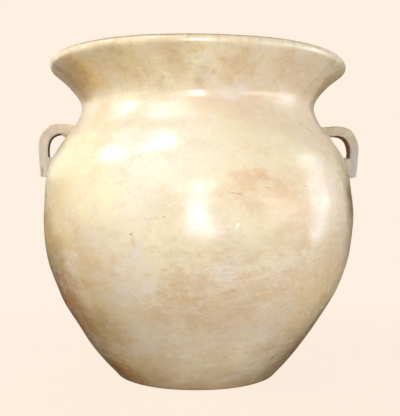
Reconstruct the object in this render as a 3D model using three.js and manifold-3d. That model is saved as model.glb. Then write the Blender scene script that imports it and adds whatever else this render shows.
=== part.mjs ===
import * as THREE from 'three';
import { mergeVertices } from 'three/addons/utils/BufferGeometryUtils.js';
import Module from 'manifold-3d';

// A wide-mouthed storage jar of fired clay, in millimetres, +Z up.
// The origin is the centre of the underside, and the two lug handles lie along X.
// The jar stands on a slab and rises in sections. Each section is keyed into the one below and
// luted to it with slip, and a coil of soft clay is pressed over each seam on the inside.

const wasm = await Module();
wasm.setup();

// Outer form, from the foot up
const baseRadius = 124;
const footEase = 4;
const bellyHeight = 258;
const bellyRadius = 248.7;
const shoulderHeight = 165;
const neckInset = 61.3;
const flareHeight = 77;
const flareReach = 50;
const lipRadius = 8.5;

const neckHeight = bellyHeight + shoulderHeight;
const neckRadius = bellyRadius - neckInset;
const jarHeight = neckHeight + flareHeight;
const rimRadius = neckRadius + flareReach;

// Clay thickness, and the film of slip left in every joint
const floorThickness = 16;
const footWall = 16;
const bellyWall = 12;
const slipGap = 0.35;

// Seams between the sections, and the V-shaped key in each
const bellySeamDrop = 32;
const neckSeamDrop = 12;
const keyWidth = 7.5;
const keyDepth = 3;
const leastRise = 2;
const bellySeamHeight = bellyHeight - bellySeamDrop;
const neckSeamHeight = neckHeight - neckSeamDrop;

// Coils pressed over the seams on the inside
const cornerCoilRise = 16;
const cornerCoilRun = 16;
const seamCoilHeight = 30;
const seamCoilThickness = 4.5;
const coilEdge = 1.2;

// Lug handles: a flat strap that leaves the shoulder, turns down and ends in a sloping cut
const handleDrop = 19.5;
const handleHeight = 83;
const cutDrop = 3;
const armThickness = 15.5;
const armRootDrop = 2.5;
const strapEmbed = 12;
const outerCornerRun = 36;
const outerCornerDrop = 42;
const innerCornerRun = 24;
const innerCornerDrop = 28;
const strapWidth = 27;
const strapRootWidth = 33;
const strapFootWidth = 29;
const strapEdge = 3;
const handles = {
  left: { turn: Math.PI, footProud: 13.1, legLean: 2.5, legThickness: 15.3, wedgeRise: 14.5 },
  right: { turn: 0, footProud: 21.1, legLean: 4.3, legThickness: 13.5, wedgeRise: 1 },
};
const handleTopHeight = neckHeight - handleDrop;
const handleCutHeight = handleTopHeight - handleHeight;
const armUnderside = handleTopHeight - armThickness;

// Wedges of clay that bed each handle, one under its root and one behind its foot
const rootWedgeRun = 13;
const rootWedgeDrop = 10;
const rootWedgeSag = 2;
const rootWedgeWidth = 26;
const footWedgeRise = 31.5;
const footWedgeSag = 3;
const footWedgeWidth = 23;
const footWedgeTop = handleCutHeight + footWedgeRise;

// Fineness of the faces
const turnSteps = 60;
const stationSteps = 3;
const lipSteps = 8;
const easeSteps = 3;
const coilSteps = 5;
const armSteps = 4;
const cornerSteps = 9;
const legSteps = 4;
const edgeSteps = 3;

// Where the outline passes between its named sizes, as shares of the height and of the radius
const lowerWallShares = [[0.136, 0.25], [0.31, 0.506], [0.504, 0.751], [0.717, 0.924]];
const shoulderShares = [[0.253, 0.063], [0.496, 0.225], [0.693, 0.517], [0.844, 0.814]];
const flareShares = [[0.314, 0.097], [0.681, 0.501]];

const creamCoat = { color: 0xe4d5b4, roughness: 0.42, metalness: 0 };
const bareClay = { color: 0x8a5543, roughness: 0.85, metalness: 0 };

const { lerp, clamp, smoothstep } = THREE.MathUtils;
const point = (x, y) => new THREE.Vector2(x, y);

// The outline of the jar, as radius and height

const lipCentre = point(rimRadius - lipRadius, jarHeight - lipRadius);
const lipStartAngle = -Math.PI / 4;
const lip = new THREE.EllipseCurve(
  lipCentre.x, lipCentre.y, lipRadius, lipRadius, lipStartAngle, lipStartAngle + Math.PI,
).getPoints(lipSteps);
const lipStart = lip[0];
const lipEnd = lip[lipSteps];

function stationsBetween(from, to, shares) {
  return shares.map(([heightShare, radiusShare]) => point(
    lerp(from.x, to.x, radiusShare),
    lerp(from.y, to.y, heightShare),
  ));
}

function outerLine() {
  const foot = point(baseRadius, 0);
  const belly = point(bellyRadius, bellyHeight);
  const neck = point(neckRadius, neckHeight);
  const stations = [
    foot,
    ...stationsBetween(foot, belly, lowerWallShares),
    belly,
    ...stationsBetween(belly, neck, shoulderShares),
    neck,
    ...stationsBetween(neck, lipStart, flareShares),
    lipStart,
  ];
  return new THREE.SplineCurve(stations).getPoints(stationSteps * (stations.length - 1));
}

// Moves every point of a rising line towards the inside of the wall, square to the line
function movedInwards(line, distanceAt) {
  const last = line.length - 1;
  return line.map((here, i) => {
    const along = line[Math.min(i + 1, last)].clone().sub(line[Math.max(i - 1, 0)]).normalize();
    return point(-along.y, along.x).multiplyScalar(distanceAt(here.y, i / last)).add(here);
  });
}

// The wall is thickest at the foot, thins towards the belly and swells again into the lip.
function wallAt(height) {
  if (height < bellyHeight) return lerp(footWall, bellyWall, smoothstep(height, 0, bellyHeight));
  return lerp(bellyWall, 2 * lipRadius, smoothstep(height, neckHeight, lipStart.y));
}

const outside = outerLine();
const inside = movedInwards(outside, wallAt);
inside[inside.length - 1] = lipEnd;

function radiusAt(line, height) {
  const next = clamp(line.findIndex((here) => here.y >= height), 1, line.length - 1);
  const low = line[next - 1];
  const high = line[next];
  return lerp(low.x, high.x, (height - low.y) / (high.y - low.y));
}

function pointAt(line, height) {
  return point(radiusAt(line, height), height);
}

function stretch(line, from, to) {
  const between = line.filter((here) => here.y > from + leastRise && here.y < to - leastRise);
  return [pointAt(line, from), ...between, pointAt(line, to)];
}

// Solids

function revolve(profile) {
  return new THREE.LatheGeometry(profile, turnSteps).rotateX(Math.PI / 2);
}

function revolveClosed(profile) {
  return revolve([...profile, profile[0].clone()]);
}

function toSolid(geometry) {
  const bare = geometry.clone();
  bare.deleteAttribute('normal');
  bare.deleteAttribute('uv');
  const merged = mergeVertices(bare);
  return new wasm.Manifold(new wasm.Mesh({
    numProp: 3,
    vertProperties: new Float32Array(merged.attributes.position.array),
    triVerts: new Uint32Array(merged.index.array),
  }));
}

function toGeometry(solid) {
  const { vertProperties, triVerts } = solid.getMesh();
  const geometry = new THREE.BufferGeometry();
  geometry.setAttribute('position', new THREE.BufferAttribute(vertProperties, 3));
  geometry.setIndex(new THREE.BufferAttribute(triVerts, 1));
  geometry.computeVertexNormals();
  return geometry;
}

// The sections of the jar

// The V of a seam, from the outside of the wall to the inside
function keyPoints(height) {
  const middle = (radiusAt(outside, height) + radiusAt(inside, height)) / 2;
  return [
    point(middle + keyWidth / 2, height),
    point(middle, height - keyDepth),
    point(middle - keyWidth / 2, height),
  ];
}

// The same V lifted by the film of slip, from the inside of the wall to the outside
function tonguePoints(height) {
  return keyPoints(height).map(({ x, y }) => point(x, y + slipGap)).reverse();
}

// The floor slab has an eased foot, and a groove that the wall keys into.
function floorSlab() {
  const ease = new THREE.QuadraticBezierCurve(
    point(baseRadius - footEase, 0),
    point(baseRadius, 0),
    pointAt(outside, footEase),
  );
  return revolve([
    point(0, 0),
    ...ease.getPoints(easeSteps),
    pointAt(outside, floorThickness),
    ...keyPoints(floorThickness),
    point(0, floorThickness),
  ]);
}

// A ring of wall with a tongue below and a groove above
function wallSection(bottomSeam, topSeam) {
  const bottom = bottomSeam + slipGap;
  return revolveClosed([
    ...stretch(outside, bottom, topSeam),
    ...keyPoints(topSeam),
    ...stretch(inside, bottom, topSeam).reverse(),
    ...tonguePoints(bottomSeam),
  ]);
}

// The neck turns outwards into the flare and ends in a rolled lip.
function neckAndRim() {
  const bottom = neckSeamHeight + slipGap;
  return revolveClosed([
    ...stretch(outside, bottom, lipStart.y).slice(0, -1),
    ...lip,
    ...stretch(inside, bottom, lipEnd.y).slice(0, -1).reverse(),
    ...tonguePoints(neckSeamHeight),
  ]);
}

// A coved coil in the corner between the floor and the wall
function floorCornerCoil() {
  const bottom = floorThickness + slipGap;
  const back = movedInwards(stretch(inside, bottom, bottom + cornerCoilRise), () => slipGap);
  const heel = point(back[0].x - slipGap / 2, bottom);
  const upperEdge = back[back.length - 1].clone();
  upperEdge.x -= coilEdge;
  const lowerEdge = point(heel.x - cornerCoilRun, bottom + coilEdge);
  const cove = new THREE.QuadraticBezierCurve(upperEdge, heel, lowerEdge);
  return revolveClosed([
    heel,
    ...back.slice(1),
    ...cove.getPoints(coilSteps),
    point(lowerEdge.x, bottom),
  ]);
}

// A coil smeared into a low band over a seam on the inside
function seamCoil(seam) {
  const bottom = seam - seamCoilHeight / 2;
  const top = seam + seamCoilHeight / 2;
  const back = movedInwards(stretch(inside, bottom, top), () => slipGap);
  const face = Array.from({ length: coilSteps + 1 }, (_, i) => {
    return pointAt(back, lerp(back[0].y, back[back.length - 1].y, i / coilSteps));
  });
  const bulge = (height, share) => lerp(coilEdge, seamCoilThickness, Math.sin(Math.PI * share));
  return revolveClosed([...back, ...movedInwards(face, bulge).reverse()]);
}

// The straps of the handles

// The outside of the upper section with the film of slip added, which the handles are seated on
function seatingBody() {
  const line = stretch(outside, bellySeamHeight + slipGap, neckSeamHeight);
  const skin = movedInwards(line, () => -slipGap);
  return toSolid(revolve([
    point(0, skin[0].y),
    ...skin,
    point(0, skin[skin.length - 1].y),
  ]));
}

const seat = seatingBody();

function strapLine(root, corner, run, drop, foot) {
  const cornerStart = point(corner.x - run, corner.y);
  const cornerEnd = point(corner.x, corner.y - drop);
  const bend = new THREE.QuadraticBezierCurve(cornerStart, corner, cornerEnd);
  return [
    ...new THREE.LineCurve(root, cornerStart).getPoints(armSteps),
    ...bend.getPoints(cornerSteps).slice(1),
    ...new THREE.LineCurve(cornerEnd, foot).getPoints(legSteps).slice(1),
  ];
}

const rootRadius = radiusAt(outside, handleTopHeight) - strapEmbed;

// The foot stands a little way off the wall, and the leg leans out above it.
function outerFace({ footProud, legLean }) {
  const root = point(rootRadius, handleTopHeight - armRootDrop);
  const foot = point(radiusAt(outside, handleCutHeight) + footProud, handleCutHeight);
  const corner = point(foot.x + legLean, handleTopHeight);
  return strapLine(root, corner, outerCornerRun, outerCornerDrop, foot);
}

function innerFace({ footProud, legLean, legThickness }) {
  const root = point(rootRadius, armUnderside - armRootDrop);
  const footReach = radiusAt(outside, handleCutHeight) + footProud - legThickness;
  const foot = point(footReach, handleCutHeight - cutDrop);
  const corner = point(foot.x + legLean, armUnderside);
  return strapLine(root, corner, innerCornerRun, innerCornerDrop, foot);
}

// The strap is widest where it is smeared on to the shoulder, and spreads a little at its foot.
function strapWidthAt(index) {
  const towardsRoot = clamp(1 - index / armSteps, 0, 1);
  const towardsFoot = clamp((index - armSteps - cornerSteps) / legSteps, 0, 1);
  const rootSpread = (strapRootWidth - strapWidth) * towardsRoot;
  const footSpread = (strapFootWidth - strapWidth) * towardsFoot;
  return strapWidth + rootSpread + footSpread;
}

// One cross-section: a rectangle between the two faces, with its corners rounded
function strapSection(outer, inner, width, growth) {
  const across = outer.clone().sub(inner);
  const middle = outer.clone().add(inner).multiplyScalar(1 / 2);
  const flatThickness = across.length() / 2 + growth - strapEdge;
  const flatWidth = width / 2 + growth - strapEdge;
  across.normalize();
  const corners = [[1, 1], [-1, 1], [-1, -1], [1, -1]];
  return corners.flatMap(([sideSign, faceSign], quarter) => {
    return Array.from({ length: edgeSteps }, (_, i) => {
      const angle = (quarter + i / (edgeSteps - 1)) * Math.PI / 2;
      const side = sideSign * flatWidth + strapEdge * Math.cos(angle);
      const rise = faceSign * flatThickness + strapEdge * Math.sin(angle);
      return new THREE.Vector3(middle.x + across.x * rise, side, middle.y + across.y * rise);
    });
  });
}

// A closed skin over a row of sections, with a fan at each end
function loft(sections) {
  const around = sections[0].length;
  const last = (sections.length - 1) * around;
  const index = [];
  for (let row = 0; row < last; row += around) {
    for (let i = 0; i < around; i += 1) {
      const here = row + i;
      const beside = row + (i + 1) % around;
      index.push(here, beside, beside + around);
      index.push(here, beside + around, here + around);
    }
  }
  for (let i = 1; i < around - 1; i += 1) {
    index.push(0, i + 1, i);
    index.push(last, last + i, last + i + 1);
  }
  const geometry = new THREE.BufferGeometry();
  const positions = sections.flat().flatMap((corner) => corner.toArray());
  geometry.setAttribute('position', new THREE.Float32BufferAttribute(positions, 3));
  geometry.setIndex(index);
  return geometry;
}

function strapSolid(handle, growth) {
  const inner = innerFace(handle);
  const sections = outerFace(handle).map((outer, i) => {
    return strapSection(outer, inner[i], strapWidthAt(i), growth);
  });
  return toSolid(loft(sections));
}

function handleStrap(handle) {
  return toGeometry(strapSolid(handle, 0).subtract(seat)).rotateZ(handle.turn);
}

// A wedge of clay between the wall and a strap, from its side view
function clayWedge(handle, sideView, width) {
  const block = new THREE.ExtrudeGeometry(sideView, {
    depth: width,
    bevelEnabled: false,
    curveSegments: coilSteps,
  });
  block.translate(0, 0, -width / 2).rotateX(Math.PI / 2);
  const trimmed = toSolid(block).subtract(seat).subtract(strapSolid(handle, slipGap));
  return toGeometry(trimmed).rotateZ(handle.turn);
}

function rootWedge(handle) {
  const corner = pointAt(outside, armUnderside);
  const low = pointAt(outside, armUnderside - rootWedgeDrop);
  const front = corner.x + rootWedgeRun;
  const sideView = new THREE.Shape();
  sideView.moveTo(corner.x - strapEdge, armUnderside + strapEdge);
  sideView.lineTo(low.x - strapEdge, low.y);
  sideView.lineTo(low.x, low.y);
  sideView.quadraticCurveTo(
    (low.x + front) / 2 - rootWedgeSag,
    (low.y + armUnderside) / 2 + rootWedgeSag,
    front,
    armUnderside,
  );
  sideView.lineTo(front, armUnderside + strapEdge);
  sideView.closePath();
  return clayWedge(handle, sideView, rootWedgeWidth);
}

function footWedge(handle) {
  const face = innerFace(handle).reverse();
  const wedgeBottom = handleCutHeight + handle.wedgeRise;
  const lowBack = radiusAt(outside, wedgeBottom) - strapEdge;
  const lowFront = radiusAt(face, wedgeBottom) + strapEdge;
  const highBack = radiusAt(outside, footWedgeTop) - strapEdge;
  const highFront = radiusAt(face, footWedgeTop) + strapEdge;
  const sideView = new THREE.Shape();
  sideView.moveTo(lowBack, wedgeBottom);
  sideView.lineTo(lowFront, wedgeBottom);
  sideView.lineTo(highFront, footWedgeTop);
  sideView.quadraticCurveTo(
    (highBack + highFront) / 2,
    footWedgeTop - 2 * footWedgeSag,
    highBack,
    footWedgeTop,
  );
  sideView.closePath();
  return clayWedge(handle, sideView, footWedgeWidth);
}

// The whole jar

function addPiece(group, name, geometry, look) {
  const piece = new THREE.Mesh(geometry, new THREE.MeshStandardMaterial(look));
  piece.name = name;
  group.add(piece);
}

function storageJar() {
  const jar = new THREE.Group();
  jar.name = 'storage_jar';
  addPiece(jar, 'floor_slab', floorSlab(), creamCoat);
  addPiece(jar, 'lower_section', wallSection(floorThickness, bellySeamHeight), creamCoat);
  addPiece(jar, 'upper_section', wallSection(bellySeamHeight, neckSeamHeight), creamCoat);
  addPiece(jar, 'neck_and_rim', neckAndRim(), creamCoat);
  addPiece(jar, 'floor_corner_coil', floorCornerCoil(), bareClay);
  addPiece(jar, 'belly_seam_coil', seamCoil(bellySeamHeight), bareClay);
  addPiece(jar, 'neck_seam_coil', seamCoil(neckSeamHeight), bareClay);
  Object.entries(handles).forEach(([side, handle]) => {
    addPiece(jar, `handle_${side}`, handleStrap(handle), creamCoat);
    addPiece(jar, `root_wedge_${side}`, rootWedge(handle), creamCoat);
    addPiece(jar, `foot_wedge_${side}`, footWedge(handle), creamCoat);
  });
  return jar;
}

const group = storageJar();

export default group;
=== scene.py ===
"""A studio view of a hand-built storage jar with an antique cream finish.

The fine surface is revolved from the same outline as the solids and then made uneven by hand-sized
waves and dents. The finish is painted by procedural materials.
"""

import math
from collections import namedtuple
import bpy
import numpy as np
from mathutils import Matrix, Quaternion, Vector, noise


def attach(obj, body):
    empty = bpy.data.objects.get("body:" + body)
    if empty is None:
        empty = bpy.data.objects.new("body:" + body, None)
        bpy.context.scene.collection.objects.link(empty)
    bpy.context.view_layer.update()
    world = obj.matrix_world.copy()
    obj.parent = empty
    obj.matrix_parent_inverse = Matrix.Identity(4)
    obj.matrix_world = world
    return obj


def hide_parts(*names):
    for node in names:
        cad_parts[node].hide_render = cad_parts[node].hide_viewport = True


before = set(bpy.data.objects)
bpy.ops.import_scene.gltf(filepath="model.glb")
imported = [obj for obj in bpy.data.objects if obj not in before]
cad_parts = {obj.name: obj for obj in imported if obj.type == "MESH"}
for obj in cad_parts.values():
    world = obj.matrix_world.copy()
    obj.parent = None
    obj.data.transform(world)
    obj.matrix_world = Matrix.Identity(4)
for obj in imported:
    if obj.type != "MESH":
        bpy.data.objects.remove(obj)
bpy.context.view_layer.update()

# Outer form of the jar, in metres
BASE_RADIUS = 0.124
FOOT_EASE = 0.004
BELLY_HEIGHT = 0.258
BELLY_RADIUS = 0.2487
NECK_HEIGHT = BELLY_HEIGHT + 0.165
NECK_RADIUS = BELLY_RADIUS - 0.0613
JAR_HEIGHT = NECK_HEIGHT + 0.077
RIM_RADIUS = NECK_RADIUS + 0.050
LIP_RADIUS = 0.0085
LOWER_WALL_SHARES = ((0.136, 0.25), (0.31, 0.506), (0.504, 0.751), (0.717, 0.924))
SHOULDER_SHARES = ((0.253, 0.063), (0.496, 0.225), (0.693, 0.517), (0.844, 0.814))
FLARE_SHARES = ((0.314, 0.097), (0.681, 0.501))
LIP_START = -math.pi / 4

# Walls, seams and the coils over them
FLOOR_THICKNESS = 0.016
FOOT_WALL = 0.016
BELLY_WALL = 0.012
BELLY_SEAM = BELLY_HEIGHT - 0.032
NECK_SEAM = NECK_HEIGHT - 0.012
CORNER_COIL_RISE = 0.016
CORNER_COIL_RUN = 0.016
SEAM_COIL_HEIGHT = 0.030
SEAM_COIL_THICKNESS = 0.0045
SEAM_COIL_FULLNESS = 0.8
COIL_EMBED = 0.001
COIL_TUCK = 0.001
FINGER_MARK_SIZE = 0.0006

# Handles
HANDLE_TOP = NECK_HEIGHT - 0.0195
HANDLE_CUT = HANDLE_TOP - 0.083
CUT_DROP = 0.003
ARM_THICKNESS = 0.0155
ARM_ROOT_DROP = 0.0025
STRAP_EMBED = 0.008
# How far from its corner each face of a strap starts and ends its bend
OUTER_CORNER = (0.036, 0.042)
INNER_CORNER = (0.024, 0.028)
STRAP_WIDTH = 0.027
STRAP_ROOT_WIDTH = 0.033
STRAP_FOOT_WIDTH = 0.029
STRAP_EDGE = 0.0032
# Each handle's last value paints shade on the bare clay inside its loop and makes its coat paler
HANDLES = {
    "left": {
        "turn": math.pi, "proud": 0.0131, "lean": 0.0025, "leg": 0.0153, "fillet": 0.0, "loop_shade": 0.8,
    },
    "right": {
        "turn": 0.0, "proud": 0.0211, "lean": 0.0043, "leg": 0.0148, "fillet": 0.011, "loop_shade": 0.1,
    },
}
# Past the end of the leg the section shrinks and drops by these, which rounds the edge of the cut
CUT_ROUNDING = ((0.00015, 0.0003), (0.0004, 0.00054), (0.0008, 0.00072))
FILLET_REACH = 0.014
FILLET_EMBED = 0.004

# Wedges of clay in the corners of the handles
WEDGE_EMBED = 0.004
WEDGE_END_SIZE = 0.35
ROOT_WEDGE_REACH = 0.021
ROOT_WEDGE_DROP = 0.010
ROOT_WEDGE_RISE = 0.005
ROOT_WEDGE_SKIN = 0.001
ROOT_WEDGE_BEND = (0.005, -0.003)
FOOT_WEDGE_RISE = 0.0015
FOOT_WEDGE_TOP = HANDLE_CUT + 0.0315
FOOT_WEDGE_HALF_WIDTH = 0.0140
FOOT_WEDGE_TAPER = 0.0006
FOOT_WEDGE_SAG = 0.004
FOOT_WEDGE_MERGE = 0.30

# Hand-made unevenness
SEED = 11
BASE_DRIFT = -0.0036
NECK_DRIFT = -0.0010
RIM_TILT = -0.0085
RIM_WAVE = 0.0007
RIM_WAVES = 4
ROUND_WAVES = 7
ROUND_WAVE_SIZE = 0.0009
ROUND_WAVE_CLIMB = 6
DENT_WAVES = 60
DENT_WAVE_SIZE = 0.00005
DENT_WAVE_TURNS = (3, 26)
DENT_WAVE_CLIMB = 110
RING_SIZE = 0.0006
RING_PITCH = 0.011
INNER_SHARE = 2 / 3
INNER_STRETCH = 1.3
# How far fingers moved the clay, in metres, and how many lumps they left to a metre
STRAP_WAVER = (0.0007, 55)
STRAP_GRAIN = (0.00025, 210)
ROOT_WEDGE_GRAIN = (0.0008, 90)
FOOT_WEDGE_GRAIN = (0.0006, 90)
# Places where the wall swells or sinks: angle in degrees, how much it keeps to that side of the
# jar (0 is all round), height, spread, size
SWELLS = (
    (0, 3.0, 0.277, 0.022, -0.0011),
    (180, 3.0, 0.278, 0.021, -0.002),
    (0, 3.0, 0.213, 0.028, 0.0006),
    (180, 3.0, 0.213, 0.028, 0.0006),
    (0, 3.0, 0.352, 0.024, 0.0015),
    (180, 3.0, 0.352, 0.024, 0.0014),
    (180, 1.5, 0.325, 0.03, 0.0018),
    (-94.5, 10.0, 0.226, 0.03, 0.0022),
    (-94.5, 10.0, 0.297, 0.022, 0.003),
    (0, 1.5, 0.138, 0.022, 0.0012),
    (180, 1.5, 0.06, 0.04, 0.0012),
)
# Dents pressed in by hand: angle round the jar in degrees, height, radius, depth
DENTS = (
    (-83, 0.246, 0.003, 0.0009),
    (-105, 0.204, 0.0045, 0.0009),
    (-103, 0.201, 0.003, 0.0007),
    (-149, 0.207, 0.0035, 0.0008),
    (-139, 0.159, 0.006, 0.0008),
    (-136, 0.155, 0.005, 0.0006),
    (-66, 0.214, 0.005, 0.0004),
    (-100, 0.296, 0.012, 0.0007),
    (-52, 0.262, 0.011, 0.0006),
    (-54, 0.24, 0.012, 0.0006),
    (-128, 0.14, 0.015, 0.0006),
    (25, 0.19, 0.012, 0.0008),
    (80, 0.3, 0.014, 0.0009),
    (130, 0.15, 0.01, 0.0008),
    (165, 0.24, 0.012, 0.0007),
    (-20, 0.12, 0.01, 0.0007),
)

# Fineness of the mesh
TURNS = 480
SPAN_STEPS = 16
LIP_STEPS = 20
EASE_STEPS = 8
COIL_STEPS = 14
FLOOR_RINGS = 24
STRAP_CORNER_STEPS = 7
ARM_STEPS = 16
BEND_STEPS = 26
LEG_STEPS = 18
WEDGE_STEPS = 14
WEDGE_DEPTH_POINTS = 9
WEDGE_WIDTH_POINTS = 13
SECTION_GAP = 0.0014
# Steps for measuring the slope of the surface, along the outline and round the jar
SLOPE_STEP = 0.0004
SLOPE_TURN = 0.0016
AXIS_RADIUS = 1e-6

# The photograph's view
CAMERA_DISTANCE = 1.1895
CAMERA_HEIGHT = 0.2687
CAMERA_ANGLE = math.radians(-4.5)
CAMERA_AIM_RIGHT = 0.0028
CAMERA_LENS = 62.7
CAMERA_CLIP = 200

RIM_WAVE_START = CAMERA_ANGLE - math.pi / 2

rng = np.random.default_rng(SEED)


# The outline of the jar, as radius and height


def blend_share(low, high, value):
    share = np.clip((value - low) / (high - low), 0, 1)
    return share * share * (3 - 2 * share)


def stations_between(start, end, shares):
    return [
        (start[0] + (end[0] - start[0]) * across, start[1] + (end[1] - start[1]) * up)
        for up, across in shares
    ]


def spline(points, steps):
    """A smooth curve through the points, with this many steps to a span."""
    points = np.array(points)
    last = len(points) - 1
    curve = []
    for span in range(last):
        before = points[max(span - 1, 0)]
        start = points[span]
        end = points[span + 1]
        after = points[min(span + 2, last)]
        leave = (end - before) / 2
        arrive = (after - start) / 2
        for step in range(steps + (span == last - 1)):
            t = step / steps
            curve.append(
                (2 * start - 2 * end + leave + arrive) * t**3
                + (3 * end - 3 * start - 2 * leave - arrive) * t**2
                + leave * t
                + start
            )
    return np.array(curve)


def bezier(start, bend, end, steps):
    start, bend, end = np.array([start, bend, end])
    t = np.linspace(0, 1, steps + 1)[:, None]
    return (1 - t) ** 2 * start + 2 * t * (1 - t) * bend + t**2 * end


def tangents(line):
    along = np.gradient(line, axis=0)
    return along / np.linalg.norm(along, axis=1)[:, None]


def moved_inwards(line, distances):
    along = tangents(line)
    inward = np.column_stack([-along[:, 1], along[:, 0]])
    return line + inward * np.reshape(distances, (-1, 1))


LIP_CENTRE = np.array([RIM_RADIUS - LIP_RADIUS, JAR_HEIGHT - LIP_RADIUS])
lip_angles = np.linspace(LIP_START, LIP_START + math.pi, LIP_STEPS + 1)
lip = LIP_CENTRE + LIP_RADIUS * np.column_stack([np.cos(lip_angles), np.sin(lip_angles)])
foot_point = (BASE_RADIUS, 0)
belly_point = (BELLY_RADIUS, BELLY_HEIGHT)
neck_point = (NECK_RADIUS, NECK_HEIGHT)
outside = spline(
    [
        foot_point,
        *stations_between(foot_point, belly_point, LOWER_WALL_SHARES),
        belly_point,
        *stations_between(belly_point, neck_point, SHOULDER_SHARES),
        neck_point,
        *stations_between(neck_point, lip[0], FLARE_SHARES),
        tuple(lip[0]),
    ],
    SPAN_STEPS,
)


def wall_at(height):
    low = FOOT_WALL + (BELLY_WALL - FOOT_WALL) * blend_share(0, BELLY_HEIGHT, height)
    swell = (2 * LIP_RADIUS - BELLY_WALL) * blend_share(NECK_HEIGHT, lip[0][1], height)
    return low + swell


inside = moved_inwards(outside, wall_at(outside[:, 1]))
inside[-1] = lip[-1]


def radius_at(line, height):
    return np.interp(height, line[:, 1], line[:, 0])


def stretch(line, low, high):
    """The part of a rising line between two heights, its ends included."""
    spare = np.ptp(line[:, 1]) / len(line) / 4
    keep = (line[:, 1] > low + spare) & (line[:, 1] < high - spare)
    ends = [[(radius_at(line, level), level)] for level in (low, high)]
    return np.vstack([ends[0], line[keep], ends[1]])


# The unevenness of a jar made by hand

Wave = namedtuple("Wave", "turns climb start size")
round_waves = [
    Wave(
        turns=turns,
        start=rng.uniform(0, 2 * math.pi),
        climb=rng.uniform(-ROUND_WAVE_CLIMB, ROUND_WAVE_CLIMB),
        size=ROUND_WAVE_SIZE / turns,
    )
    for turns in range(2, ROUND_WAVES + 2)
]
dent_waves = [
    Wave(
        turns=int(rng.integers(*DENT_WAVE_TURNS)),
        climb=rng.uniform(-DENT_WAVE_CLIMB, DENT_WAVE_CLIMB),
        start=rng.uniform(0, 2 * math.pi),
        size=DENT_WAVE_SIZE * rng.uniform(0.5, 1.5),
    )
    for _ in range(DENT_WAVES)
]


def waves_at(waves, angle, height):
    """How far the waves push the surface out at this angle and height."""
    return sum(
        wave.size * np.cos(wave.turns * angle + wave.climb * height + wave.start)
        for wave in waves
    )


def drift(height):
    towards_base = 1 - blend_share(0, BELLY_HEIGHT, height)
    towards_neck = blend_share(BELLY_HEIGHT, NECK_HEIGHT, height)
    return BASE_DRIFT * towards_base + NECK_DRIFT * towards_neck


def outer_relief(angle, height):
    offset = waves_at(dent_waves, angle, height)
    for degrees, focus, level, spread, size in SWELLS:
        side_share = np.exp(focus * (np.cos(angle - math.radians(degrees)) - 1))
        offset = offset + size * side_share * np.exp(-((height - level) / spread) ** 2)
    for degrees, level, radius, depth in DENTS:
        turn = np.angle(np.exp(1j * (angle - math.radians(degrees))))
        across = turn * radius_at(outside, level)
        distance = (across**2 + (height - level) ** 2) / radius**2
        offset = offset - depth * np.exp(-distance)
    return offset


def inner_relief(angle, height):
    """The ridges that a potter's fingers leave as the clay is drawn up."""
    wander = 0.25 * np.sin(angle + 9 * height) + 0.15 * np.sin(3 * angle - 14 * height)
    ridge = np.sin(2 * math.pi * (height / RING_PITCH + wander) + angle)
    return RING_SIZE * ridge + INNER_SHARE * outer_relief(angle, height * INNER_STRETCH)


def placed(angle, radius, height, relief):
    """The point of the finished surface that stands for this point of the true form."""
    out = radius + waves_at(round_waves, angle, height)
    if relief is not None:
        out = out + relief(angle, height)
    x = out * np.cos(angle) + drift(height)
    y = out * np.sin(angle)
    rim_wave = RIM_WAVE * (1 - np.cos(RIM_WAVES * (angle - RIM_WAVE_START)))
    rim_rise = RIM_TILT * x + rim_wave
    z = height + rim_rise * blend_share(NECK_HEIGHT, JAR_HEIGHT, height)
    return np.stack([x, y, z], axis=-1)


# Meshes

Row = namedtuple("Row", "radius height along relief flat coat")


def new_piece(name, vertices, faces, finish, marks, loop_normals=None):
    """Makes a piece, which stands for the CAD node of the same name."""
    material, slot = finish
    mesh = bpy.data.meshes.new(name)
    mesh.from_pydata(vertices, [], faces)
    mesh.validate()
    mesh.polygons.foreach_set("use_smooth", [True] * len(mesh.polygons))
    if loop_normals is not None:
        mesh.normals_split_custom_set(loop_normals)
    for mark, values in marks.items():
        attribute = mesh.attributes.new(mark, "FLOAT", "POINT")
        attribute.data.foreach_set("value", np.array(values, np.float32))
    mesh.materials.append(material)
    piece = bpy.data.objects.new(name, mesh)
    bpy.context.scene.collection.objects.link(piece)
    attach(piece, "root")
    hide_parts(name)


def ring_normals(turn, row):
    """The directions in which the surface of one row faces."""

    def beside(round_jar, along):
        radius = row.radius + along * row.along[0]
        height = row.height + along * row.along[1]
        return placed(turn + round_jar, radius, height, row.relief)

    across = beside(SLOPE_TURN, 0) - beside(-SLOPE_TURN, 0)
    normal = np.cross(across, beside(0, SLOPE_STEP) - beside(0, -SLOPE_STEP))
    if row.radius < AXIS_RADIUS:
        normal = np.array([[0, 0, 1.0 if row.along[0] < 0 else -1.0]])
    return normal / np.linalg.norm(normal, axis=1)[:, None]


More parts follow.
